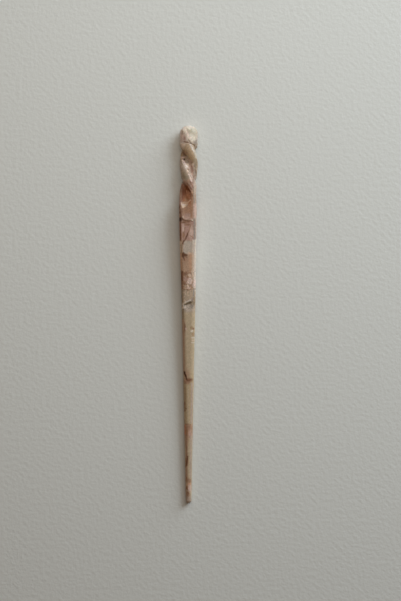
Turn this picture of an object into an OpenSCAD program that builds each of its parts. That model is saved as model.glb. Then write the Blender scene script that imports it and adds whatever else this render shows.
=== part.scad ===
// Hair stick of marbled acetate: a tapering rounded bar with a carved two-strand twist at its head.
// It lies on its back: +Y points to the head, +Z to the face that is seen, z = 0 is what it rests on.
// A station is the distance along the stick from the round end of the head, in millimetres.

/* [Stick] */
// Whole length, from the round end of the head to the tip
stick_length = 180; // [150:1:200]
// Width across the twisted head
head_width = 8.7; // [8.4:0.1:9.2]
// Width of the shaft where the twist ends
shaft_width = 8.34; // [7.6:0.02:9.2]
// Thickness of the bar at the head and where the twist ends
bar_thickness = 6.2; // [5.6:0.1:7]
// Width of the tip
tip_width = 2.8; // [2.4:0.1:3.2]
// Thickness of the tip
tip_thickness = 2.7; // [2.4:0.1:3.2]
// Radius of the rounded long edges where the shaft begins
edge_radius = 1.2; // [0.9:0.1:1.4]
// How far the middle of the head lies to the right of the middle of the stick
head_shift = 0.15; // [0:0.01:0.3]
// How far the top of the shaft lies to the left of the middle of the stick
shaft_shift = 0.33; // [0:0.01:0.4]

/* [Twist] */
// Length of one full turn of the two grooves
twist_pitch = 29.3; // [28:0.1:29.8]
// Station where a groove would first face straight up, if it turned evenly right to the dome
first_groove = 4.3; // [4:0.1:4.5]
// Station where the grooves, on their way to the dome, start to swing across the stick
swing_start = 11.4; // [10.9:0.1:11.6]
// How fast they swing from there, in degrees per square millimetre
swing_rate = 7; // [0:0.5:8]
// Station where the twist has stopped
twist_stop = 31.8; // [31:0.1:33]
// Length over which the twist slows down, on each side of its stop
twist_ease = 3; // [1:0.5:4]
// Width of the twist where one strand crosses the other, as a share of its full width
waist = 0.87; // [0.82:0.01:0.9]
// Height of the strands beside an open groove, as a share of the full thickness
crest = 0.75; // [0.7:0.01:0.8]
// Half the thickness of the web left between the two grooves
web_half = 1.2; // [1:0.1:1.5]
// Height of a groove's wall above its floor
wall_rise = 1.4; // [1.2:0.1:2]
// How much a groove is rounded: 1 is a plain V, 2 a round hollow
hollow_power = 1.8; // [1.2:0.1:2.5]
// Blending of the groove's sharp edges
soft_edge = 0.5; // [0.3:0.1:1]
// Length of the domed end of the head
dome_length = 4.1; // [3.5:0.1:4.5]
// Length of the rounded tip
tip_dome = 1.5; // [1:0.1:2]

/* [Facets] */
// Points around each section
ring_points = 48; // [32:4:56]
// Distance between sections along the twist
twist_step = 0.55; // [0.5:0.05:1]
// Distance between sections along the shaft
shaft_step = 9; // [6:1:20]

/* [Hidden] */

// Stations where the grooves face sideways, and between them where one lies open to the front
first_crossing = first_groove + twist_pitch / 4;
open_groove = first_groove + twist_pitch / 2;
second_crossing = first_groove + twist_pitch * 3 / 4;

// Stations that shape the run-out of the grooves into the shaft
scoop_start = twist_stop - 2.5;
scoop_wide = twist_stop + 1.7;
scoop_shallow = twist_stop + 5;
scoop_end = twist_stop + 7.6;
tip_start = stick_length - tip_dome;

// Station where the grooves have swung all the way round and end under the dome
swing_end = swing_start - 4;

// Outer form, a row for each station: station, half width, half thickness, middle in X,
// width across the grooves as a share of the full width, blend from twist (0) to square bar (1),
// radius of the bar's long edges
STATION = 0;
HALF_WIDTH = 1;
HALF_THICK = 2;
MIDDLE = 3;
WAIST = 4;
BAR_FORM = 5;
EDGE = 6;
outer_form = [
    [0, head_width / 2, bar_thickness / 2, head_shift, 1, 0, edge_radius],
    [7.2, head_width / 2, bar_thickness / 2, head_shift, 0.97, 0, edge_radius],
    [first_crossing, head_width / 2, bar_thickness / 2, 0, waist, 0, edge_radius],
    [open_groove, head_width / 2, bar_thickness / 2, head_shift, crest, 0, edge_radius],
    [second_crossing, head_width / 2 - 0.1, bar_thickness / 2, head_shift, waist, 0, edge_radius],
    [twist_stop - 4, shaft_width / 2, bar_thickness / 2, head_shift, waist, 0, edge_radius],
    [scoop_wide, shaft_width / 2 - 0.2, bar_thickness / 2, -shaft_shift, waist, 1, edge_radius],
    [scoop_end, shaft_width / 2, bar_thickness / 2, -shaft_shift, waist, 1, edge_radius],
    [0.46 * stick_length, shaft_width * 0.4, bar_thickness * 0.405, 0, waist, 1, edge_radius * 1.6],
    [0.68 * stick_length, shaft_width * 0.3, bar_thickness * 0.32, 0, waist, 1, edge_radius * 1.8],
    [tip_start, tip_width / 2, tip_thickness / 2, 0, waist, 1, edge_radius * 1.8]
];

// Grooves, a row for each station: station, height of the floor above the axis, half opening,
// how far the floor lies to the side of the groove's middle
FLOOR = 1;
HALF_OPENING = 2;
ASIDE = 3;
groove_form = [
    [0, 6, 1.4, 0],
    [swing_end, 4.5, 1.4, 0],
    [swing_start - 2.7, web_half + 2.6, 1.4, 0],
    [swing_start - 1.9, web_half + 2.3, 1.5, 0],
    [swing_start - 1.2, web_half + 1.8, 1.8, 0],
    [first_crossing, web_half + 0.3, 2, 0],
    [first_crossing + 2, web_half, 2.1, 0],
    [open_groove, web_half, 2.4, 0],
    [second_crossing, web_half, 2, 0],
    [scoop_start, web_half, 2.4, 0],
    [scoop_wide, web_half, 3.6, 0],
    [scoop_shallow, 2.6, 2.8, -0.1],
    [scoop_end, 4.6, 2.4, -0.35],
    [scoop_end + 4, 8, 2.4, -0.35]
];

// Slope of a table's column between row i and the next
function slope(table, i, column) =
    (table[i + 1][column] - table[i][column]) / (table[i + 1][STATION] - table[i][STATION]);

// Slope at row i that keeps the curve smooth and never past its rows
function row_slope(table, i, column) =
    i == 0 ? slope(table, 0, column)
    : i == len(table) - 1 ? slope(table, i - 1, column)
    : let (before = slope(table, i - 1, column), after = slope(table, i, column))
        before * after <= 0 ? 0 : 2 * before * after / (before + after);

// A table's column at any station, on a smooth curve through its rows
function at_station(table, station, column) =
    let (
        last = len(table) - 1,
        s = min(max(station, table[0][STATION]), table[last][STATION]),
        i = max([for (k = [0:last - 1]) if (s >= table[k][STATION]) k]),
        span = table[i + 1][STATION] - table[i][STATION],
        x = (s - table[i][STATION]) / span
    )
    table[i][column] * (1 + 2 * x) * pow(1 - x, 2)
    + table[i + 1][column] * (3 - 2 * x) * pow(x, 2)
    + row_slope(table, i, column) * span * x * pow(1 - x, 2)
    - row_slope(table, i + 1, column) * span * (1 - x) * pow(x, 2);

// Direction at a station that turns evenly with the twist, in degrees from +Z towards +X
function twist_angle(station) =
    let (
        turn = 360 / twist_pitch,
        end_angle = turn * (twist_stop - first_groove),
        before = twist_stop + twist_ease - station
    )
    before <= 0 ? end_angle
    : before >= 2 * twist_ease ? turn * (station - first_groove)
    : end_angle - turn * pow(before, 2) / (4 * twist_ease);

// How far the upper groove lags behind the even twist at a station, where it swings below the dome
function groove_lag(station) = swing_rate * pow(max(0, swing_start - max(station, swing_end)), 2);

// Distance from the axis to an ellipse, at an angle from its short half axis
function oval_radius(angle, long_half, short_half) =
    1 / sqrt(pow(sin(angle) / long_half, 2) + pow(cos(angle) / short_half, 2));

// Distance from the axis to a square with rounded corners, along a direction from +Z towards +X
function square_radius(direction, half, edge) =
    let (
        radius = min(edge, half - 0.05),
        near = min(abs(sin(direction)), abs(cos(direction))),
        far = max(abs(sin(direction)), abs(cos(direction))),
        corner = half - radius,
        along = corner * (near + far)
    )
    half / far * near <= corner ? half / far
    : along + sqrt(max(0, pow(along, 2) - 2 * pow(corner, 2) + pow(radius, 2)));

// The smaller of two values, blended where they are close
function soft_min(a, b) = min(a, b) - pow(max(soft_edge - abs(a - b), 0), 2) / (4 * soft_edge);

// How much the section has shrunk towards the two rounded ends, 1 in between
function end_scale(station) =
    station < dome_length ? sqrt(1 - pow(1 - station / dome_length, 2))
    : station > tip_start ? sqrt(max(0, 1 - pow((station - tip_start) / tip_dome, 2)))
    : 1;

// One point of the surface: its station and its direction from the even twist, in degrees.
// The section is worked out as wide as it is high, and then flattened to its thickness.
function surface_point(station, direction) =
    let (
        half_width = at_station(outer_form, station, HALF_WIDTH),
        half_thick = at_station(outer_form, station, HALF_THICK),
        turned = twist_angle(station) - groove_lag(station),
        offset = direction + groove_lag(station),
        twisted = oval_radius(offset, half_width, half_width * at_station(outer_form, station, WAIST)),
        edge = at_station(outer_form, station, EDGE),
        squared = square_radius(turned + offset, half_width, edge),
        outer = end_scale(station)
            * (twisted + (squared - twisted) * at_station(outer_form, station, BAR_FORM)),
        sideways = outer * sin(offset),
        outward = outer * cos(offset),
        from_floor = abs(sideways - sign(outward) * at_station(groove_form, station, ASIDE)),
        valley = at_station(groove_form, station, FLOOR)
            + wall_rise * pow(from_floor / at_station(groove_form, station, HALF_OPENING), hollow_power),
        cut = sign(outward) * soft_min(abs(outward), valley)
    )
    [
        at_station(outer_form, station, MIDDLE) + sideways * cos(turned) + cut * sin(turned),
        stick_length / 2 - station,
        half_thick * (1 + (cut * cos(turned) - sideways * sin(turned)) / half_width)
    ];

// Stations of the sections: close together over the ends and the twist, far apart on the shaft
dome_rings = 7;
tip_rings = 5;
twist_rings = round((scoop_end + 1 - dome_length) / twist_step);
shaft_rings = round((tip_start - scoop_end - 1) / shaft_step);
stations = [
    for (k = [1:dome_rings]) dome_length * (1 - cos(90 * k / dome_rings)),
    for (k = [1:twist_rings]) dome_length + (scoop_end + 1 - dome_length) * k / twist_rings,
    for (k = [1:shaft_rings]) scoop_end + 1 + (tip_start - scoop_end - 1) * k / shaft_rings,
    for (k = [1:tip_rings - 1]) tip_start + tip_dome * sin(90 * k / tip_rings)
];

// Solid lofted through rings of points, closed by a point at each end
module lofted(rings, first_point, last_point) {
    count = len(rings[0]);
    last_ring = len(rings) - 1;
    first_index = len(rings) * count;
    polyhedron(
        points = [for (ring = rings) each ring, first_point, last_point],
        faces = [
            for (i = [0:count - 1]) let (j = (i + 1) % count) [first_index, j, i],
            for (r = [0:last_ring - 1], i = [0:count - 1])
                let (j = (i + 1) % count, a = r * count, b = a + count)
                each [[a + i, a + j, b + j], [a + i, b + j, b + i]],
            for (i = [0:count - 1])
                let (j = (i + 1) % count, a = last_ring * count)
                [a + i, a + j, first_index + 1]
        ]
    );
}

module stick() {
    color([0.68, 0.58, 0.48])
        lofted(
            [for (s = stations) [for (k = [0:ring_points - 1]) surface_point(s, 360 * k / ring_points)]],
            [head_shift, stick_length / 2, bar_thickness / 2],
            [0, -stick_length / 2, tip_thickness / 2]
        );
}

stick();
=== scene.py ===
"""Looks of a marbled acetate hair stick with a carved two-strand twist at its head.

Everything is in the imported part's frame, in metres: +Y runs along the stick to its head, +Z points
up from the surface it lies on. The tables are in millimetres. A station is the distance along the
stick from the round end of its head.
"""
import math

import bpy
import numpy as np
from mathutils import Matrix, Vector, noise


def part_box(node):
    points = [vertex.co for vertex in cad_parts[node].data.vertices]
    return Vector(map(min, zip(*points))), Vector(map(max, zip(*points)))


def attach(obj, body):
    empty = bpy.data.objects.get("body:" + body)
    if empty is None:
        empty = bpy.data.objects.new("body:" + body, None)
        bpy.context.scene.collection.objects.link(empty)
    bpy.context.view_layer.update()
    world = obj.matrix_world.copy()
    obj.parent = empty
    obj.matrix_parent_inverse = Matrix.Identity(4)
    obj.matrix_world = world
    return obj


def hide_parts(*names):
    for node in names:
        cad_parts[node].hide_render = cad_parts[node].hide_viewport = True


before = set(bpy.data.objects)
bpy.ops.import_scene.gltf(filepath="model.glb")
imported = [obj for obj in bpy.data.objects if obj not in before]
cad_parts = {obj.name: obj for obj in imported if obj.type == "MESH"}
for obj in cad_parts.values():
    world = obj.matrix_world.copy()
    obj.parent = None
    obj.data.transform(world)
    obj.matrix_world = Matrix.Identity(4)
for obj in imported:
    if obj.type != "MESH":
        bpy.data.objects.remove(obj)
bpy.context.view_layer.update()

MM = 0.001
low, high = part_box("stick")
LENGTH = (high.y - low.y) / MM
THICKNESS = high.z / MM

# Sizes of the stick, as in the part's own source
HEAD_WIDTH = 8.7
SHAFT_WIDTH = 8.34
TIP_WIDTH = 2.8
TIP_THICKNESS = 2.7
EDGE_RADIUS = 1.2
HEAD_SHIFT = 0.15
SHAFT_SHIFT = 0.33
TWIST_PITCH = 29.3
FIRST_GROOVE = 4.3
SWING_START = 11.4
SWING_END = SWING_START - 4
SWING_RATE = math.radians(7)
TWIST_STOP = 31.8
TWIST_EASE = 3.0
WAIST = 0.87
CREST = 0.75
WEB_HALF = 1.2
WALL_RISE = 1.4
HOLLOW_POWER = 1.8
SOFT_EDGE = 0.5
LEAST_FLAT = 0.05
DOME_LENGTH = 4.1
TIP_DOME = 1.5
SCOOP_START = TWIST_STOP - 2.5
SCOOP_WIDE = TWIST_STOP + 1.7
SCOOP_SHALLOW = TWIST_STOP + 5
SCOOP_END = TWIST_STOP + 7.6
TIP_START = LENGTH - TIP_DOME

# Stations where the grooves face sideways, and between them where one lies open to the front
FIRST_CROSSING = FIRST_GROOVE + TWIST_PITCH / 4
OPEN_GROOVE = FIRST_GROOVE + TWIST_PITCH / 2
SECOND_CROSSING = FIRST_GROOVE + TWIST_PITCH * 3 / 4

# Fineness of the surface: points in a ring, rings over each end and steps between the others
RING_POINTS = 144
DOME_RINGS = 24
TIP_RINGS = 12
CARVED_STEP = 0.16
SHAFT_STEP = 0.34

# Columns of OUTER_FORM and GROOVE_FORM
STATION, HALF_WIDTH, HALF_THICK, MIDDLE, WAIST_SHARE, BAR_FORM, EDGE = range(7)
FLOOR, HALF_OPENING, ASIDE = 1, 2, 3
OUTER_FORM = [
    (0, HEAD_WIDTH / 2, THICKNESS / 2, HEAD_SHIFT, 1, 0, EDGE_RADIUS),
    (7.2, HEAD_WIDTH / 2, THICKNESS / 2, HEAD_SHIFT, 0.97, 0, EDGE_RADIUS),
    (FIRST_CROSSING, HEAD_WIDTH / 2, THICKNESS / 2, 0, WAIST, 0, EDGE_RADIUS),
    (OPEN_GROOVE, HEAD_WIDTH / 2, THICKNESS / 2, HEAD_SHIFT, CREST, 0, EDGE_RADIUS),
    (SECOND_CROSSING, HEAD_WIDTH / 2 - 0.1, THICKNESS / 2, HEAD_SHIFT, WAIST, 0, EDGE_RADIUS),
    (TWIST_STOP - 4, SHAFT_WIDTH / 2, THICKNESS / 2, HEAD_SHIFT, WAIST, 0, EDGE_RADIUS),
    (SCOOP_WIDE, SHAFT_WIDTH / 2 - 0.2, THICKNESS / 2, -SHAFT_SHIFT, WAIST, 1, EDGE_RADIUS),
    (SCOOP_END, SHAFT_WIDTH / 2, THICKNESS / 2, -SHAFT_SHIFT, WAIST, 1, EDGE_RADIUS),
    (0.46 * LENGTH, SHAFT_WIDTH * 0.4, THICKNESS * 0.405, 0, WAIST, 1, EDGE_RADIUS * 1.6),
    (0.68 * LENGTH, SHAFT_WIDTH * 0.3, THICKNESS * 0.32, 0, WAIST, 1, EDGE_RADIUS * 1.8),
    (TIP_START, TIP_WIDTH / 2, TIP_THICKNESS / 2, 0, WAIST, 1, EDGE_RADIUS * 1.8),
]
GROOVE_FORM = [
    (0, 6, 1.4, 0),
    (SWING_END, 4.5, 1.4, 0),
    (SWING_START - 2.7, WEB_HALF + 2.6, 1.4, 0),
    (SWING_START - 1.9, WEB_HALF + 2.3, 1.5, 0),
    (SWING_START - 1.2, WEB_HALF + 1.8, 1.8, 0),
    (FIRST_CROSSING, WEB_HALF + 0.3, 2.0, 0),
    (FIRST_CROSSING + 2, WEB_HALF, 2.1, 0),
    (OPEN_GROOVE, WEB_HALF, 2.4, 0),
    (SECOND_CROSSING, WEB_HALF, 2.0, 0),
    (SCOOP_START, WEB_HALF, 2.4, 0),
    (SCOOP_WIDE, WEB_HALF, 3.6, 0),
    (SCOOP_SHALLOW, 2.6, 2.8, -0.1),
    (SCOOP_END, 4.6, 2.4, -0.35),
    (SCOOP_END + 4, 8, 2.4, -0.35),
]


def slope(table, i, column):
    """Slope of a column between row i and the next."""
    return (table[i + 1][column] - table[i][column]) / (table[i + 1][STATION] - table[i][STATION])


def row_slope(table, i, column):
    """Slope at row i that keeps the curve smooth and never past its rows."""
    if i == 0:
        return slope(table, 0, column)
    if i == len(table) - 1:
        return slope(table, i - 1, column)
    before, after = slope(table, i - 1, column), slope(table, i, column)
    return 0.0 if before * after <= 0 else 2 * before * after / (before + after)


def at_station(table, station, column):
    """A column's value at any station, on a smooth curve through the table's rows."""
    s = min(max(station, table[0][STATION]), table[-1][STATION])
    i = max(k for k in range(len(table) - 1) if s >= table[k][STATION])
    span = table[i + 1][STATION] - table[i][STATION]
    x = (s - table[i][STATION]) / span
    return (table[i][column] * (1 + 2 * x) * (1 - x) ** 2
            + table[i + 1][column] * (3 - 2 * x) * x ** 2
            + row_slope(table, i, column) * span * x * (1 - x) ** 2
            - row_slope(table, i + 1, column) * span * (1 - x) * x ** 2)


def twist_angle(station):
    """Direction at a station that turns evenly with the twist, from +Z towards +X."""
    turn = 2 * math.pi / TWIST_PITCH
    end_angle = turn * (TWIST_STOP - FIRST_GROOVE)
    before = TWIST_STOP + TWIST_EASE - station
    if before <= 0:
        return end_angle
    if before >= 2 * TWIST_EASE:
        return turn * (station - FIRST_GROOVE)
    return end_angle - turn * before ** 2 / (4 * TWIST_EASE)


def groove_lag(station):
    """How far the upper groove lags behind the even twist, where it swings below the dome."""
    return SWING_RATE * max(0, SWING_START - max(station, SWING_END)) ** 2


def end_scale(station):
    """How much the section has shrunk towards the two rounded ends."""
    if station < DOME_LENGTH:
        return math.sqrt(1 - (1 - station / DOME_LENGTH) ** 2)
    if station > TIP_START:
        return math.sqrt(max(0, 1 - ((station - TIP_START) / TIP_DOME) ** 2))
    return 1.0


def oval_radius(angles, long_half, short_half):
    """Distances from the axis to an ellipse, at angles from its short half axis."""
    return 1 / np.hypot(np.sin(angles) / long_half, np.cos(angles) / short_half)


def square_radius(directions, half, edge):
    """Distances from the axis to a square with rounded corners."""
    radius = min(edge, half - LEAST_FLAT)
    corner = half - radius
    sines, cosines = np.abs(np.sin(directions)), np.abs(np.cos(directions))
    near, far = np.minimum(sines, cosines), np.maximum(sines, cosines)
    along = corner * (near + far)
    rounded = along + np.sqrt(np.maximum(0, along ** 2 - 2 * corner ** 2 + radius ** 2))
    return np.where(half / far * near <= corner, half / far, rounded)


def soft_min(a, b):
    """The smaller of two values, blended where they are close."""
    return np.minimum(a, b) - np.maximum(SOFT_EDGE - np.abs(a - b), 0) ** 2 / (4 * SOFT_EDGE)


def section(station, directions):
    """The ring of points round the stick at a station, and how deep each lies below the uncut bar.
    Directions are from the even twist. The section is worked out as wide as it is high, and then
    flattened to its thickness."""
    half_width = at_station(OUTER_FORM, station, HALF_WIDTH)
    half_thick = at_station(OUTER_FORM, station, HALF_THICK)
    bar_form = at_station(OUTER_FORM, station, BAR_FORM)
    waist = at_station(OUTER_FORM, station, WAIST_SHARE)
    turned = twist_angle(station) - groove_lag(station)
    offsets = directions + groove_lag(station)
    twisted = oval_radius(offsets, half_width, half_width * waist)
    squared = square_radius(turned + offsets, half_width, at_station(OUTER_FORM, station, EDGE))
    outer = end_scale(station) * (twisted + (squared - twisted) * bar_form)
    sideways, outward = outer * np.sin(offsets), outer * np.cos(offsets)
    from_floor = np.abs(sideways - np.sign(outward) * at_station(GROOVE_FORM, station, ASIDE))
    floor = at_station(GROOVE_FORM, station, FLOOR)
    opening = at_station(GROOVE_FORM, station, HALF_OPENING)
    valley = floor + WALL_RISE * (from_floor / opening) ** HOLLOW_POWER
    cut = np.sign(outward) * soft_min(np.abs(outward), valley)
    middle = at_station(OUTER_FORM, station, MIDDLE)
    across = middle + sideways * math.cos(turned) + cut * math.sin(turned)
    height = half_thick * (1 + (cut * math.cos(turned) - sideways * math.sin(turned)) / half_width)
    along = np.full(len(offsets), LENGTH / 2 - station)
    return np.stack([across, along, height], axis=1), np.maximum(0, np.abs(outward) - np.abs(cut))


def section_stations():
    """Stations of the rings: closest together over the ends and the twist."""
    carved_end = SCOOP_END + 1
    carved_length, shaft_length = carved_end - DOME_LENGTH, TIP_START - carved_end
    carved_rings = round(carved_length / CARVED_STEP)
    shaft_rings = round(shaft_length / SHAFT_STEP)
    quarter = math.pi / 2
    return (
        [DOME_LENGTH * (1 - math.cos(quarter * k / DOME_RINGS)) for k in range(1, DOME_RINGS + 1)]
        + [DOME_LENGTH + carved_length * k / carved_rings for k in range(1, carved_rings + 1)]
        + [carved_end + shaft_length * k / shaft_rings for k in range(1, shaft_rings + 1)]
        + [TIP_START + TIP_DOME * math.sin(quarter * k / TIP_RINGS) for k in range(1, TIP_RINGS)]
    )


def add_attribute(mesh, name, kind, field, values):
    """Gives every point of a mesh a value of its own, for the materials."""
    mesh.attributes.new(name, kind, "POINT").data.foreach_set(field, values)


def stick_mesh():
    """The stick's surface: rings of points joined along it, closed by a point at each end."""
    directions = np.arange(RING_POINTS) * 2 * math.pi / RING_POINTS
    rings, hollows = zip(*(section(station, directions) for station in section_stations()))
    ends = [(HEAD_SHIFT, LENGTH / 2, THICKNESS / 2), (0, -LENGTH / 2, TIP_THICKNESS / 2)]
    points = np.concatenate([*rings, ends])
    hollow = np.concatenate([*hollows, (0, 0)])
    head_end, tip_end = len(points) - 2, len(points) - 1
    last = (len(rings) - 1) * RING_POINTS
    faces = []
    for i in range(RING_POINTS):
        j = (i + 1) % RING_POINTS
        faces.append((head_end, i, j))
        faces.append((last + j, last + i, tip_end))
        for a in range(0, last, RING_POINTS):
            b = a + RING_POINTS
            faces.append((a + i, b + i, b + j, a + j))
    mesh = bpy.data.meshes.new("acetate_stick")
    mesh.from_pydata((points * MM).tolist(), [], faces)
    mesh.polygons.foreach_set("use_smooth", [True] * len(mesh.polygons))
    colours, flakes = marbling_and_painted_light(points)
    colours = np.column_stack([colours, np.ones(len(points))])
    add_attribute(mesh, "hollow", "FLOAT", "value", hollow)
    add_attribute(mesh, "marbling_and_painted_light", "FLOAT_COLOR", "color", colours.ravel())
    add_attribute(mesh, "flakes", "FLOAT", "value", flakes)
    mesh.update()
    return mesh


# Colours are given as they look on the stick's flat face beside the paper, in 8-bit sRGB. The
# paper's own colour and the lightest that is allowed on the stick are linear
PAPER_SEEN = (188, 189, 183)
PAPER_ALBEDO = 0.78
LIGHTEST = 0.95


def linear(channel):
    """An 8-bit sRGB channel as linear light."""
    c = channel / 255
    return c / 12.92 if c <= 0.04045 else ((c + 0.055) / 1.055) ** 2.4


def pigment(seen):
    """The surface colour that looks like this beside the paper."""
    pairs = zip(seen, PAPER_SEEN)
    return tuple(min(LIGHTEST, PAPER_ALBEDO * linear(c) / linear(p)) for c, p in pairs)


def fill_inputs(tree, shader_node, inputs):
    """Links or sets a node's inputs, by name or number."""
    for name, value in inputs.items():
        if isinstance(value, bpy.types.NodeSocket):
            tree.links.new(value, shader_node.inputs[name])
        else:
            shader_node.inputs[name].default_value = value


def node(tree, kind, inputs, **settings):
    """Adds a shader node with its properties and inputs."""
    made = tree.nodes.new(kind)
    for name, value in settings.items():
        setattr(made, name, value)
    fill_inputs(tree, made, inputs)
    return made


def maths(tree, operation, *values):
    """The result of a Math node."""
    return node(tree, "ShaderNodeMath", dict(enumerate(values)), operation=operation).outputs[0]


def scaled(tree, vector, factor):
    """A vector or a colour times a number."""
    inputs = {0: vector, 3: factor}
    return node(tree, "ShaderNodeVectorMath", inputs, operation="SCALE").outputs[0]


def stretched(tree, vector, factors):
    """A vector with each part times a number of its own."""
    inputs = {0: vector, 1: factors}
    return node(tree, "ShaderNodeVectorMath", inputs, operation="MULTIPLY").outputs[0]


def mapped(tree, value, old_range, new_range):
    """A value moved smoothly from one range to another, and held there."""
    inputs = dict(enumerate([value, *old_range, *new_range]))
    return node(tree, "ShaderNodeMapRange", inputs, interpolation_type="SMOOTHSTEP").outputs[0]


def attribute(tree, name, output):
    """A value that the mesh gives to each of its points."""
    return node(tree, "ShaderNodeAttribute", {}, attribute_name=name).outputs[output]


def millimetres(tree):
    """The point being shaded, in the stick's frame, in millimetres."""
    return scaled(tree, node(tree, "ShaderNodeTexCoord", {}).outputs["Object"], 1 / MM)


def noise_texture(tree, point, scale, detail):
    """A noise texture. Its scale is in features per millimetre."""
    inputs = {"Vector": point, "Scale": scale, "Detail": detail}
    return node(tree, "ShaderNodeTexNoise", inputs).outputs["Fac"]


def bumped(tree, height, depth):
    """The normals of a surface with relief. Its depth is in millimetres."""
    inputs = {"Height": height, "Strength": 1.0, "Distance": depth * MM}
    return node(tree, "ShaderNodeBump", inputs).outputs["Normal"]


def new_material(name):
    """A material, its nodes and its shader."""
    material = bpy.data.materials.new(name)
    material.use_nodes = True
    return material, material.node_tree, material.node_tree.nodes["Principled BSDF"]


# The marbling is a chart of zones, patches and veins, in colours that are named here and were chosen
# close to the photograph's. A few of its patches and veins are painted light and painted shade,
# marked where they stand
PALETTE = {
    "ivory": (206, 190, 170),
    "cream": (190, 181, 158),
    "bone": (178, 157, 132),
    "silver": (178, 168, 150),
    "pearl": (157, 145, 127),
    "sage": (160, 151, 129),
    "shell": (174, 159, 140),
    "blush": (186, 166, 149),
    "pink": (172, 149, 131),
    "dust": (156, 129, 110),
    "rose": (149, 119, 103),
    "mauve": (143, 116, 99),
    "violet": (129, 114, 102),
    "grey": (130, 120, 106),
    "taupe": (151, 134, 114),
    "sand": (155, 137, 113),
    "lichen": (148, 140, 114),
    "straw": (158, 142, 113),
    "wheat": (154, 136, 104),
    "olive": (141, 119, 89),
    "khaki": (129, 114, 90),
    "moss": (78, 66, 44),
    "caramel": (165, 131, 102),
    "tan": (149, 122, 97),
    "clay": (138, 109, 85),
    "bronze": (132, 108, 77),
    "rosewood": (134, 101, 74),
    "copper": (158, 111, 81),
    "umber": (121, 91, 68),
    "rust": (128, 83, 51),
    "russet": (106, 55, 14),
    "maroon": (108, 64, 40),
    "brown": (104, 74, 52),
    "coffee": (84, 54, 33),
    "black": (62, 36, 18),
}

# Ground colours from the head to the tip. Columns: station where it starts, colour, half length of
# the change, how much its flakes show
ZONES = [
    (0, "shell", 1.0, 0.5),
    (8.8, "sand", 0.5, 0.5),
    (11.5, "olive", 0.8, 0.6),
    (17, "taupe", 1.0, 0.7),
    (26.5, "mauve", 0.5, 0.7),
    (31, "clay", 1.0, 0.6),
    (45.6, "rose", 0.15, 0.5),
    (54.8, "tan", 0.2, 0.5),
    (69.0, "tan", 0.3, 1.0),
    (78.0, "sand", 0.4, 1.0),
    (88.5, "straw", 0.8, 0.4),
    (118, "wheat", 4.0, 0.4),
    (142.3, "tan", 0.3, 0.6),
    (149, "straw", 2.5, 0.5),
    (176.0, "taupe", 0.5, 0.4),
]

# Shapes of the patches: blobs and clouds are ovals, and chips are rectangles with rounded corners.
# The softness of an edge is a share of the patch's half size
BLOB, CLOUD, CHIP = "blob", "cloud", "chip"
EDGE_SOFTNESS = {BLOB: 0.4, CLOUD: 0.8, CHIP: 0.15}
CHIP_POWER = 6
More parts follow.
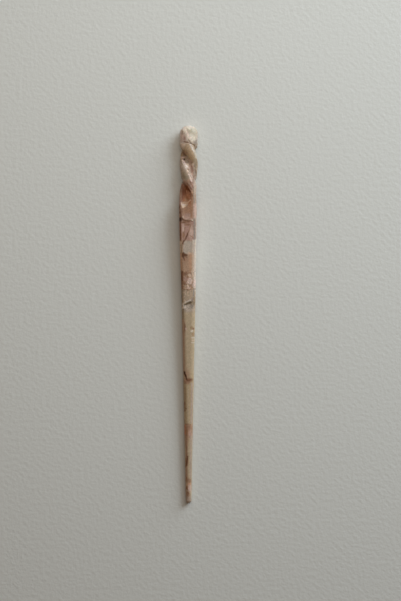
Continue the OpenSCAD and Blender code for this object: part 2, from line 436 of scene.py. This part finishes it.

# Patches, of which later rows lie over earlier ones. A few are painted shade and painted light,
# marked
# where they stand. Columns: shape, colour, station, X, half size across, half size along, turn
# anticlockwise in degrees
PATCHES_AND_PAINTED_SHADING = [
    # Domed end
    (CLOUD, "sage", 3.2, 2.4, 2.4, 2.6, 20),
    # Painted shade: a grey olive cloud standing for a shallow hollow at the top of the dome
    (CLOUD, "lichen", 2.4, 1.2, 1.6, 1.0, -10),
    (CLOUD, "silver", 0.8, 0.0, 2.6, 0.8, 0),
    (CLOUD, "blush", 5.0, -3.3, 1.6, 3.2, 0),
    # Painted shade on the lower right of the dome, where it curves down towards the first strand
    (CLOUD, "grey", 7.8, 3.5, 1.0, 1.3, 0),
    (BLOB, "ivory", 2.2, -2.0, 1.0, 1.3, 15),
    (BLOB, "cream", 5.6, 1.0, 1.5, 1.5, 0),
    (CLOUD, "cream", 6.4, 2.5, 0.8, 1.0, 0),
    (CLOUD, "taupe", 3.4, -2.9, 0.4, 0.9, 0),
    (CLOUD, "rose", 6.3, -1.8, 0.5, 1.0, 10),
    (BLOB, "umber", 8.1, -1.1, 1.2, 0.35, -12),
    (BLOB, "cream", 8.0, 0.3, 0.3, 0.25, 0),
    # First strand
    (CLOUD, "olive", 10.6, -0.6, 1.5, 1.8, 25),
    (CLOUD, "bone", 9.8, -2.6, 0.8, 1.0, 0),
    (BLOB, "bone", 8.9, -2.1, 0.4, 0.3, 0),
    (CLOUD, "bronze", 13.1, -0.7, 1.6, 1.4, 20),
    (BLOB, "umber", 13.3, -0.6, 0.5, 0.4, 0),
    (CLOUD, "clay", 13.2, -2.3, 0.9, 0.8, 0),
    (CLOUD, "bronze", 15.9, 1.3, 0.8, 2.2, 25),
    (CLOUD, "khaki", 17.8, 3.5, 0.8, 2.9, 5),
    # Eye between the strands
    (BLOB, "blush", 15.2, -3.1, 1.2, 0.5, 0),
    (BLOB, "dust", 14.8, -1.3, 0.7, 0.5, 0),
    (BLOB, "taupe", 16.6, -0.9, 0.8, 0.7, 0),
    (BLOB, "bronze", 16.2, 0.6, 0.5, 0.8, 30),
    (CHIP, "pearl", 17.4, -0.6, 0.4, 0.4, 20),
    # Partly pale pigment and partly painted light on the lit inner wall of the second strand
    (BLOB, "ivory", 19.0, -0.4, 1.0, 1.1, 25),
    (BLOB, "pink", 18.6, 0.9, 0.5, 1.3, 10),
    (BLOB, "pink", 19.9, 0.5, 0.7, 0.8, 10),
    (BLOB, "rose", 20.6, 1.9, 0.6, 1.6, 15),
    (BLOB, "mauve", 21.6, 1.5, 0.6, 0.9, 10),
    (BLOB, "pink", 23.3, 1.8, 0.5, 0.9, 10),
    # Second strand
    (CLOUD, "taupe", 19.0, -2.9, 1.3, 3.0, 20),
    (BLOB, "black", 16.2, -2.0, 0.45, 0.5, 0),
    (CHIP, "pearl", 20.5, -1.1, 0.5, 0.5, 0),
    (CLOUD, "khaki", 24.6, -1.3, 1.3, 3.2, 25),
    (CLOUD, "clay", 26.7, 0.2, 1.0, 0.8, 0),
    # Scoop where the upper groove runs out
    (BLOB, "rust", 32.0, -1.3, 2.3, 4.4, 8),
    (BLOB, "russet", 31.4, -2.6, 0.9, 1.9, 0),
    (BLOB, "russet", 31.2, -1.2, 0.5, 1.3, 0),
    (BLOB, "russet", 29.8, -0.5, 0.7, 1.3, 20),
    (BLOB, "copper", 33.2, 0.4, 0.8, 2.0, 10),
    (BLOB, "maroon", 34.6, -3.1, 0.6, 2.2, 0),
    (BLOB, "rosewood", 35.7, -1.6, 1.3, 0.8, 10),
    (BLOB, "tan", 36.8, -2.0, 1.5, 0.5, 10),
    (BLOB, "blush", 38.3, -2.3, 0.9, 0.8, 20),
    (CLOUD, "rust", 39.2, 0.5, 0.8, 1.5, 0),
    (BLOB, "rust", 37.8, 0.8, 0.9, 2.4, 0),
    # Brown stretch below it, down to the crack
    (CLOUD, "rosewood", 41.2, 0.9, 0.8, 2.6, 0),
    (BLOB, "black", 41.5, -3.8, 0.6, 0.7, 0),
    (BLOB, "coffee", 43.6, -3.4, 0.5, 0.8, 0),
    (BLOB, "black", 44.8, -3.8, 0.8, 1.2, 0),
    (CLOUD, "rosewood", 40.4, -0.2, 2.0, 1.9, 0),
    (CLOUD, "mauve", 42.8, -0.4, 2.2, 0.9, 0),
    (CLOUD, "dust", 43.9, -1.0, 1.6, 0.6, 0),
    (BLOB, "bone", 43.6, -2.5, 0.35, 0.5, 0),
    (BLOB, "cream", 45.0, 1.9, 0.4, 0.5, 0),
    (BLOB, "umber", 46.1, -1.2, 2.4, 0.5, 0),
    (CLOUD, "umber", 47.2, -0.2, 1.6, 0.5, 0),
    (BLOB, "mauve", 48.0, 1.6, 0.9, 1.0, 0),
    # Dusty pink stretch
    (CLOUD, "pink", 49.2, -2.4, 0.5, 1.6, 0),
    (CLOUD, "rosewood", 52.4, -2.3, 0.6, 1.4, 0),
    (CLOUD, "pink", 51.0, 1.3, 0.9, 2.6, 0),
    (BLOB, "pink", 50.6, 1.7, 0.7, 1.0, 0),
    # Grey beige chip with a dark spot at its foot
    (CHIP, "pearl", 58.0, -0.4, 2.1, 3.1, 0),
    (BLOB, "coffee", 61.6, -2.5, 0.8, 1.1, 0),
    (BLOB, "coffee", 61.8, -1.4, 1.0, 0.6, 0),
    (BLOB, "bone", 60.9, 0.5, 0.8, 0.5, 0),
    # Tan stretch
    (CLOUD, "caramel", 65.0, 0.9, 0.8, 3.4, 0),
    (CLOUD, "clay", 63.9, -1.5, 1.0, 1.1, 0),
    # Mottled stretch
    (CHIP, "umber", 70.6, -1.6, 1.2, 0.8, 15),
    (CHIP, "clay", 70.2, 0.4, 0.8, 0.5, 0),
    (CHIP, "bone", 71.4, 0.5, 0.6, 0.8, 20),
    (CHIP, "mauve", 73.0, -1.5, 1.0, 0.9, -20),
    (BLOB, "rosewood", 72.2, -0.3, 0.5, 0.6, 0),
    (CHIP, "umber", 75.0, -1.9, 0.5, 0.9, 20),
    (CHIP, "blush", 74.1, 0.7, 1.1, 1.4, -25),
    (BLOB, "dust", 73.1, -0.3, 0.5, 0.6, 0),
    (BLOB, "pink", 75.0, -0.6, 0.4, 0.6, 0),
    (CHIP, "tan", 75.9, 1.1, 0.5, 0.4, 10),
    (CHIP, "bone", 76.2, -0.4, 0.5, 0.4, 0),
    (CHIP, "blush", 77.0, 0.1, 0.35, 0.4, 10),
    (CHIP, "sand", 76.3, -1.6, 0.4, 0.35, 20),
    (CHIP, "bone", 77.5, -1.2, 0.35, 0.3, -10),
    (CHIP, "pink", 76.0, 2.2, 0.6, 0.9, 0),
    (BLOB, "umber", 75.6, -0.9, 0.3, 0.3, 20),
    (CHIP, "pink", 77.4, 0.3, 0.9, 0.4, 0),
    # Grey corner at the oblique line
    (CLOUD, "grey", 85.4, 1.4, 1.3, 2.6, -10),
    (CLOUD, "khaki", 84.0, 1.4, 1.4, 1.2, 15),
    (CLOUD, "silver", 86.6, -1.4, 1.8, 0.9, 25),
    (CLOUD, "pearl", 87.8, 0.0, 1.8, 0.9, 15),
    (BLOB, "violet", 82.8, 2.2, 0.6, 1.2, 0),
    # Small marks on the plain shaft
    (CLOUD, "clay", 96.2, -2.1, 0.6, 2.8, 0),
    (BLOB, "brown", 96.2, -2.0, 0.5, 2.2, 0),
    (BLOB, "pink", 96.6, -1.2, 0.45, 0.45, 0),
    (BLOB, "olive", 96.2, 1.4, 0.8, 0.6, 0),
    (BLOB, "umber", 96.7, 2.3, 0.5, 0.45, 0),
    (BLOB, "cream", 97.8, 1.5, 0.6, 0.45, 0),
    (BLOB, "olive", 99.2, 2.2, 0.8, 0.9, 0),
    # Rust patch
    (CLOUD, "tan", 118.4, -0.8, 1.3, 1.8, 0),
    (BLOB, "clay", 121.4, -0.5, 1.9, 1.4, 8),
    (BLOB, "umber", 121.1, 0.3, 1.8, 0.8, 8),
    (BLOB, "bronze", 133.4, -1.8, 0.5, 2.2, 0),
    (BLOB, "umber", 132.3, -1.8, 0.35, 0.8, 0),
    (BLOB, "umber", 134.7, -1.2, 0.35, 0.35, 0),
    (BLOB, "brown", 135.7, -1.7, 0.35, 0.35, 0),
    # Rust pink stretch
    (CLOUD, "clay", 143.8, 0.3, 1.8, 1.0, 0),
    (CLOUD, "dust", 147.0, 0.7, 0.8, 1.8, 0),
    (BLOB, "rosewood", 145.8, -0.9, 0.6, 2.6, 0),
    (CLOUD, "clay", 150.6, -0.9, 0.6, 3.0, 0),
    # Slim end
    (CLOUD, "rosewood", 160.0, -0.9, 0.7, 2.6, 0),
    (CLOUD, "rosewood", 168.4, -0.9, 0.7, 1.6, 0),
    (BLOB, "caramel", 170.8, 0.3, 1.2, 0.8, 0),
    (BLOB, "clay", 169.2, 0.3, 1.3, 0.9, 0),
    (BLOB, "pink", 172.6, 0.5, 1.1, 1.5, 0),
    (BLOB, "rosewood", 172.4, -0.8, 0.5, 1.0, 0),
    (CLOUD, "clay", 175.2, -0.4, 1.0, 1.2, 0),
]

# Veins, and a few streaks of painted light, laid over the patches. Columns: colour, station and X
# where it starts, station and X where it ends, half width
VEINS_AND_PAINTED_LIGHT = [
    ("cream", 1.2, -0.5, 1.7, 0.6, 0.5),
    ("ivory", 2.0, -1.8, 5.6, 0.2, 0.6),
    ("ivory", 5.6, 0.2, 6.6, 1.4, 0.5),
    ("cream", 6.6, 1.4, 7.6, 1.6, 0.4),
    ("khaki", 6.8, -0.1, 8.7, 1.3, 0.2),
    # Painted highlight along the upper right edge of the first strand
    ("silver", 9.2, 0.9, 12.8, 2.8, 0.35),
    # Painted light that lifts the shade at the right end of the crease under the dome
    ("ivory", 9.9, 3.3, 11.2, 3.8, 0.3),
    ("sage", 12.6, 3.0, 15.4, 3.9, 0.5),
    ("bone", 15.0, -0.9, 17.4, 1.1, 0.4),
    # Painted light: these two lift the shade on the right wall of the eye
    ("ivory", 18.5, 2.0, 20.8, 2.8, 0.5),
    ("silver", 20.8, 2.8, 23.2, 3.0, 0.4),
    ("umber", 20.9, -0.9, 20.9, 0.2, 0.15),
    # Partly pale pigment and partly painted light on the lit inner wall of the second strand
    ("blush", 16.4, -2.7, 18.6, -1.4, 0.35),
    ("bone", 21.4, -0.6, 23.4, 0.1, 0.25),
    ("blush", 23.4, 0.1, 26.6, 1.5, 0.35),
    ("silver", 24.5, 3.3, 29.0, 3.4, 0.4),
    ("mauve", 24.8, 2.4, 26.0, 2.5, 0.3),
    ("umber", 26.8, 0.7, 29.6, 2.2, 0.25),
    ("brown", 26.6, 1.0, 27.4, 1.2, 0.25),
    ("taupe", 27.0, 2.9, 38.0, 2.9, 0.5),
    ("khaki", 29.8, 2.5, 31.8, 2.6, 0.25),
    ("pearl", 28.6, 3.7, 33.0, 3.8, 0.3),
    ("caramel", 32.0, 1.7, 34.5, 1.7, 0.35),
    ("rosewood", 35.4, 1.7, 43.5, 1.6, 0.4),
    ("grey", 34.5, 2.9, 36.9, 2.9, 0.15),
    ("pink", 38.0, 3.2, 44.0, 3.2, 0.8),
    ("umber", 29.5, -3.5, 40.5, -3.9, 0.5),
    ("brown", 34.5, -4.0, 36.5, -4.0, 0.5),
    ("coffee", 36.6, -4.0, 39.0, -4.1, 0.4),
    ("umber", 38.8, -3.1, 43.2, -3.2, 0.35),
    ("brown", 27.8, -0.5, 30.6, 1.3, 0.4),
    ("russet", 29.2, -0.5, 31.6, 0.8, 0.3),
    ("copper", 31.0, -1.0, 33.4, -0.6, 0.25),
    ("dust", 36.8, -3.4, 37.4, -3.2, 0.3),
    ("bone", 37.4, -3.2, 38.9, -2.6, 0.3),
    ("rust", 34.0, -2.3, 36.0, -2.1, 0.35),
    ("bone", 38.9, -2.3, 37.5, -0.9, 0.42),
    ("caramel", 37.4, -1.0, 35.6, 0.8, 0.3),
    ("dust", 44.4, -2.4, 44.6, 2.1, 0.3),
    ("brown", 41.0, -3.6, 43.6, -3.6, 0.35),
    ("coffee", 43.8, -3.3, 45.2, -2.4, 0.3),
    ("dust", 41.0, 2.2, 44.0, 2.2, 0.35),
    ("coffee", 45.2, -2.4, 45.5, 0.2, 0.35),
    ("coffee", 45.4, 0.2, 45.8, 1.8, 0.22),
    ("brown", 46.4, -3.2, 46.3, -1.4, 0.3),
    ("umber", 47.4, -1.2, 47.4, 0.9, 0.25),
    ("umber", 48.4, -1.7, 53.4, -2.4, 0.15),
    ("rosewood", 47.4, 1.1, 50.2, 0.3, 0.16),
    ("rosewood", 52.4, 0.6, 53.3, 2.0, 0.16),
    ("umber", 50.2, 0.3, 51.6, -0.4, 0.22),
    ("coffee", 51.6, -0.4, 54.0, -1.3, 0.38),
    ("brown", 54.0, -1.3, 55.0, -2.1, 0.3),
    ("coffee", 55.0, -2.4, 56.4, -2.8, 0.3),
    ("grey", 44.6, 2.9, 55.0, 2.9, 0.4),
    ("pearl", 44.6, 3.8, 55.0, 3.8, 0.35),
    ("brown", 46.4, -3.8, 54.5, -3.7, 0.4),
    ("bone", 55.6, -3.9, 60.0, -3.8, 0.5),
    ("silver", 54.8, 2.2, 60.8, 2.2, 0.45),
    ("silver", 54.8, 3.6, 60.8, 3.6, 0.8),
    ("caramel", 61.5, -3.7, 68.5, -3.6, 0.5),
    ("coffee", 61.8, -2.4, 63.2, -2.3, 0.4),
    ("brown", 63.1, -2.3, 64.2, -2.0, 0.3),
    ("umber", 62.6, -1.4, 62.8, -0.8, 0.3),
    ("khaki", 56.8, -3.3, 60.4, -3.3, 0.3),
    ("bone", 60.8, 2.1, 69.0, 2.1, 0.5),
    ("silver", 60.8, 3.4, 78.0, 3.2, 0.8),
    ("brown", 69.7, -3.1, 74.5, -3.1, 0.5),
    ("umber", 74.5, -3.1, 77.8, -3.1, 0.4),
    ("bone", 69.6, 1.9, 73.0, 1.9, 0.5),
    ("blush", 74.0, 2.9, 76.4, 2.8, 0.6),
    ("brown", 77.6, 2.4, 77.6, 3.1, 0.2),
    ("grey", 78.4, 2.5, 81.5, 2.5, 0.4),
    ("khaki", 81.8, 2.6, 85.0, 2.6, 0.45),
    ("umber", 78.3, -2.5, 78.3, 1.5, 0.15),
    ("khaki", 78.5, -3.1, 84.6, -3.1, 0.5),
    ("silver", 84.6, -2.4, 82.9, 1.2, 0.25),
    ("moss", 85.6, -2.5, 85.0, -1.1, 0.3),
    ("moss", 85.0, -1.1, 84.0, 1.2, 0.4),
    ("silver", 85.3, -2.7, 86.4, -1.6, 0.35),
    ("khaki", 87.6, -2.6, 92.0, -2.5, 0.45),
    ("tan", 92.5, -2.5, 117.0, -2.1, 0.5),
    ("silver", 101.0, 1.4, 101.0, 3.1, 0.18),
    ("bone", 102.4, 1.6, 102.4, 3.1, 0.14),
    ("silver", 103.4, 1.4, 103.4, 3.1, 0.16),
    ("tan", 115.4, -0.8, 117.0, -0.8, 0.2),
    ("black", 117.4, -2.0, 119.5, -1.1, 0.45),
    ("coffee", 119.4, -1.15, 120.8, -0.8, 0.35),
    ("brown", 121.4, -0.4, 120.9, 1.2, 0.3),
    ("caramel", 121.0, -2.0, 121.4, -1.4, 0.3),
    ("clay", 122.6, -1.8, 122.5, 0.4, 0.25),
    ("straw", 124.0, -0.1, 142.0, -0.1, 0.5),
    ("taupe", 122.8, 1.6, 141.4, 1.3, 0.5),
    ("olive", 124.5, -1.6, 131.0, -1.6, 0.4),
    ("umber", 142.2, -1.4, 142.2, 1.2, 0.2),
    ("copper", 142.6, -1.6, 146.6, -1.6, 0.4),
    ("clay", 152.0, -0.9, 157.5, -0.9, 0.4),
    ("taupe", 148.0, 1.2, 167.5, 1.0, 0.4),
    ("brown", 157.6, -0.4, 162.2, -1.0, 0.4),
    ("tan", 162.6, -0.9, 167.0, -0.9, 0.4),
    ("brown", 172.8, -0.9, 173.4, -0.3, 0.25),
    ("brown", 174.6, -0.5, 175.2, 0.1, 0.3),
    ("umber", 175.4, -0.3, 176.4, -0.2, 0.3),
]

# What makes the marks' edges ragged. Smooth noise drifts them, and shards of them move as one. A
# shard's move is picked by its centre, which is spread out so that neighbours move differently.
# Columns of DRIFTS: features per millimetre, reach
DRIFTS = [(0.6, 0.15), (2.5, 0.12)]
SHARD_SIZE = 0.5
SHARD_REACH = 0.16
CELL_SPREAD = 37.0

# Where the smooth noise starts, which is the same in every run
NOISE_SEED = 1

# The marks run straight down through the stick to this height. From there they slant, by this much
# along X and along the stick for each millimetre of depth
SLANT_HEIGHT = 2.4
SLANT_X = 0.5
SLANT_ALONG = 2.6


def drifted(points, scale, reach):
    """How far smooth noise moves each point."""
    return reach * np.array([noise.noise_vector(Vector(p) * scale) for p in points])


def sharded(points):
    """How far each point is moved with its shard, a cell of a Voronoi pattern."""
    moves = []
    for p in points:
        _, centres = noise.voronoi(Vector(p) / SHARD_SIZE)
        moves.append(noise.cell_vector(centres[0] * CELL_SPREAD))
    return SHARD_REACH * (np.array(moves) - 0.5)


def smooth_step(values):
    """Values held between 0 and 1, with soft ends."""
    inside = np.clip(values, 0, 1)
    return inside ** 2 * (3 - 2 * inside)


def zone_share(zone, stations):
    """How much a zone has taken over from the one before it, at each point."""
    start, _, half_change, _ = zone
    return smooth_step((stations - start) / (2 * half_change) + 0.5)


def patch_share(patch, stations, across):
    """How much of a patch shows at each point."""
    shape, _, station, x, half_across, half_along, turn = patch
    cosine, sine = math.cos(math.radians(turn)), math.sin(math.radians(turn))
    from_x, from_station = across - x, station - stations
    u = np.abs(from_x * cosine + from_station * sine) / half_across
    v = np.abs(from_station * cosine - from_x * sine) / half_along
    square = (u ** CHIP_POWER + v ** CHIP_POWER) ** (1 / CHIP_POWER)
    distance = square if shape == CHIP else np.hypot(u, v)
    softness = EDGE_SOFTNESS[shape]
    return smooth_step((1 + softness - distance) / (2 * softness))


def streak_share(streak, stations, across):
    """How much of a streak, be it a vein of the marbling or a line of painted light, shows at each
    point. It starts to fade at half its half width, and is gone at one and a half of it."""
    _, from_station, from_x, to_station, to_x, half_width = streak
    run_station, run_x = to_station - from_station, to_x - from_x
    off_station, off_x = stations - from_station, across - from_x
    along = (off_station * run_station + off_x * run_x) / (run_station ** 2 + run_x ** 2)
    along = np.clip(along, 0, 1)
    distance = np.hypot(off_station - along * run_station, off_x - along * run_x)
    return smooth_step((1.5 * half_width - distance) / half_width)


def marbling_and_painted_light(points):
    """The chart's colour at each point of the surface, painted light and shade included, and how
    much its flakes show. The marks slant on their way through the stick, so the back has the same
    marbling in another place."""
    noise.seed_set(NOISE_SEED)
    depth = np.maximum(SLANT_HEIGHT - points[:, 2], 0)
    moved = points + np.stack([depth * SLANT_X, depth * SLANT_ALONG, np.zeros(len(points))], axis=1)
    for scale, reach in DRIFTS:
        moved = moved + drifted(points, scale, reach)
    moved = moved + sharded(points)
    across, stations = moved[:, 0], LENGTH / 2 - moved[:, 1]
    layers = [(zone_share(zone, stations), zone[1]) for zone in ZONES]
    layers += [(patch_share(patch, stations, across), patch[1]) for patch in PATCHES_AND_PAINTED_SHADING]
    layers += [(streak_share(streak, stations, across), streak[0]) for streak in VEINS_AND_PAINTED_LIGHT]
    colours = np.tile(pigment(PALETTE[ZONES[0][1]]), (len(points), 1))
    for share, colour in layers:
        colours += share[:, None] * (np.array(pigment(PALETTE[colour])) - colours)
    flakes = np.full(len(points), float(ZONES[0][3]))
    for zone in ZONES:
        flakes += zone_share(zone, stations) * (zone[3] - flakes)
    return colours, flakes


# Textures of the materials. Scales are in features per millimetre and depths in millimetres. A
# spread is the part of a texture's range that counts
FLAKE_SCALE = 1.6
FLAKE_SPREAD = (0.2, 0.8)
GRAIN_SCALE = 3.0
GRAIN_DETAIL = 4.0
GRAIN_SPREAD = (0.3, 0.7)
UNEVENNESS = (-0.16, 0.16)
HAZE_SCALES = (6.0, 0.5, 6.0)
HAZE_DETAIL = 3.0
HAZE_SPREAD = (0.3, 0.8)
HAZE_ROUGHNESS = (-0.04, 0.06)
HAZE_HEIGHT = 0.02
WAVE_SCALE = 0.45
WAVE_DETAIL = 1.0
WAVE_DEPTH = 0.05
TOOTH_SCALE = 0.55
TOOTH_DETAIL = 2.5
TOOTH_DEPTH = 0.15
PAPER_TINT = (0.985, 1.0, 0.94)

# Roughness of the polished outside and of the hollows, from and to these depths below the uncut bar
HOLLOW_DEPTHS = (0.2, 1.6)
ROUGHNESS = (0.33, 0.42)

# Inputs of the two shaders that are the same everywhere
ACETATE_INPUTS = {
    "IOR": 1.48,
    "Specular IOR Level": 0.4,
    "Subsurface Weight": 0.15,
    "Subsurface Radius": (1.0, 0.6, 0.35),
    "Subsurface Scale": 0.8 * MM,
}
PAPER_INPUTS = {
    "Base Color": (*(PAPER_ALBEDO * tint for tint in PAPER_TINT), 1.0),
    "Roughness": 0.9,
    "Specular IOR Level": 0.2,
}


def acetate_material():
    """Polished cellulose acetate, marbled in cream, tan, dusty pink and rust, with some painted
    light and shade in its colours.
    """
    material, tree, shader = new_material("marbled_acetate")
    point = millimetres(tree)
    flake = node(tree, "ShaderNodeTexVoronoi", {"Vector": point, "Scale": FLAKE_SCALE})
    flake_light = mapped(tree, flake.outputs["Color"], FLAKE_SPREAD, UNEVENNESS)
    grain = noise_texture(tree, point, GRAIN_SCALE, GRAIN_DETAIL)
    grain_light = mapped(tree, grain, GRAIN_SPREAD, UNEVENNESS)
    uneven = maths(tree, "ADD", flake_light, grain_light)
    bright = maths(tree, "MULTIPLY_ADD", uneven, attribute(tree, "flakes", "Fac"), 1.0)
    colour = scaled(tree, attribute(tree, "marbling_and_painted_light", "Color"), bright)

    haze = noise_texture(tree, stretched(tree, point, HAZE_SCALES), 1.0, HAZE_DETAIL)
    carved = mapped(tree, attribute(tree, "hollow", "Fac"), HOLLOW_DEPTHS, ROUGHNESS)
    roughness = maths(tree, "ADD", carved, mapped(tree, haze, HAZE_SPREAD, HAZE_ROUGHNESS))

    waves = noise_texture(tree, point, WAVE_SCALE, WAVE_DETAIL)
    relief = maths(tree, "ADD", waves, maths(tree, "MULTIPLY", haze, HAZE_HEIGHT))
    fill_inputs(tree, shader, ACETATE_INPUTS)
    fill_inputs(tree, shader, {
        "Base Color": colour,
        "Roughness": roughness,
        "Normal": bumped(tree, relief, WAVE_DEPTH),
    })
    return material


def paper_material():
    """Pale drawing paper with a fine tooth."""
    material, tree, shader = new_material("pale_paper")
    tooth = noise_texture(tree, millimetres(tree), TOOTH_SCALE, TOOTH_DETAIL)
    fill_inputs(tree, shader, PAPER_INPUTS)
    fill_inputs(tree, shader, {"Normal": bumped(tree, tooth, TOOTH_DEPTH)})
    return material


def add_object(name, data):
    """A new object in the scene, at the origin."""
    made = bpy.data.objects.new(name, data)
    bpy.context.scene.collection.objects.link(made)
    return made


def add_stick():
    """The stick itself, which stands for the CAD node of that name."""
    mesh = stick_mesh()
    mesh.materials.append(acetate_material())
    stick = add_object("acetate_stick", mesh)
    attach(stick, "root")
    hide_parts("stick")


def add_floor():
    """A plain sheet of pale paper that the stick lies on."""
    half = 1.5
    corners = [(-half, -half, 0), (half, -half, 0), (half, half, 0), (-half, half, 0)]
    mesh = bpy.data.meshes.new("paper_floor")
    mesh.from_pydata(corners, [], [(0, 1, 2, 3)])
    mesh.materials.append(paper_material())
    add_object("paper_floor", mesh)


# Soft studio lights. Columns: name, azimuth from +X towards +Y and elevation in degrees, distance
# from the stick and side of the square lamp in metres, power in watts, colour
LIGHTS = [
    ("key", 45, 22, 1.0, 0.65, 9.7, (0.825, 0.917, 1.0)),
    ("fill", 90, 60, 0.4, 0.4, 0.5, (1.0, 0.95, 0.88)),
]
AMBIENT = (1.0, 0.7, 0.5, 1.0)
AMBIENT_STRENGTH = 0.1


def add_lights():
    """The lamps of the table, each turned to the stick, and a dim warm room."""
    for name, azimuth, elevation, distance, side, power, colour in LIGHTS:
        lamp = bpy.data.lights.new(name, "AREA")
        lamp.energy = power
        lamp.size = side
        lamp.color = colour
        a, e = math.radians(azimuth), math.radians(elevation)
        towards = Vector((math.cos(e) * math.cos(a), math.cos(e) * math.sin(a), math.sin(e)))
        placed = add_object(name, lamp)
        placed.location = towards * distance
        placed.rotation_euler = (-towards).to_track_quat("-Z", "Y").to_euler()
    world = bpy.data.worlds.new("room")
    world.use_nodes = True
    background = world.node_tree.nodes["Background"]
    background.inputs["Color"].default_value = AMBIENT
    background.inputs["Strength"].default_value = AMBIENT_STRENGTH
    bpy.context.scene.world = world


# The photograph's frame, and the stick's place and length in it, in pixels. The camera's height is
# in metres and its sensor in millimetres
IMAGE_WIDTH, IMAGE_HEIGHT = 401, 601
STICK_PIXELS = 378
AXIS_PIXEL_X, MIDDLE_PIXEL_Y = 188.5, 314.6
CAMERA_HEIGHT = 0.8
SENSOR = 36.0


def add_camera():
    """A camera straight above, which shows the stick at the photograph's place and size."""
    pixel = LENGTH * MM / STICK_PIXELS
    camera = bpy.data.cameras.new("camera")
    camera.sensor_fit = "VERTICAL"
    camera.sensor_height = SENSOR
    camera.lens = SENSOR * (CAMERA_HEIGHT - THICKNESS / 2 * MM) / (IMAGE_HEIGHT * pixel)
    placed = add_object("camera", camera)
    placed.location = (
        (IMAGE_WIDTH / 2 - AXIS_PIXEL_X) * pixel,
        (MIDDLE_PIXEL_Y - IMAGE_HEIGHT / 2) * pixel,
        CAMERA_HEIGHT,
    )
    bpy.context.scene.camera = placed


add_stick()
add_floor()
add_lights()
add_camera()
bpy.context.scene.view_settings.view_transform = "Standard"
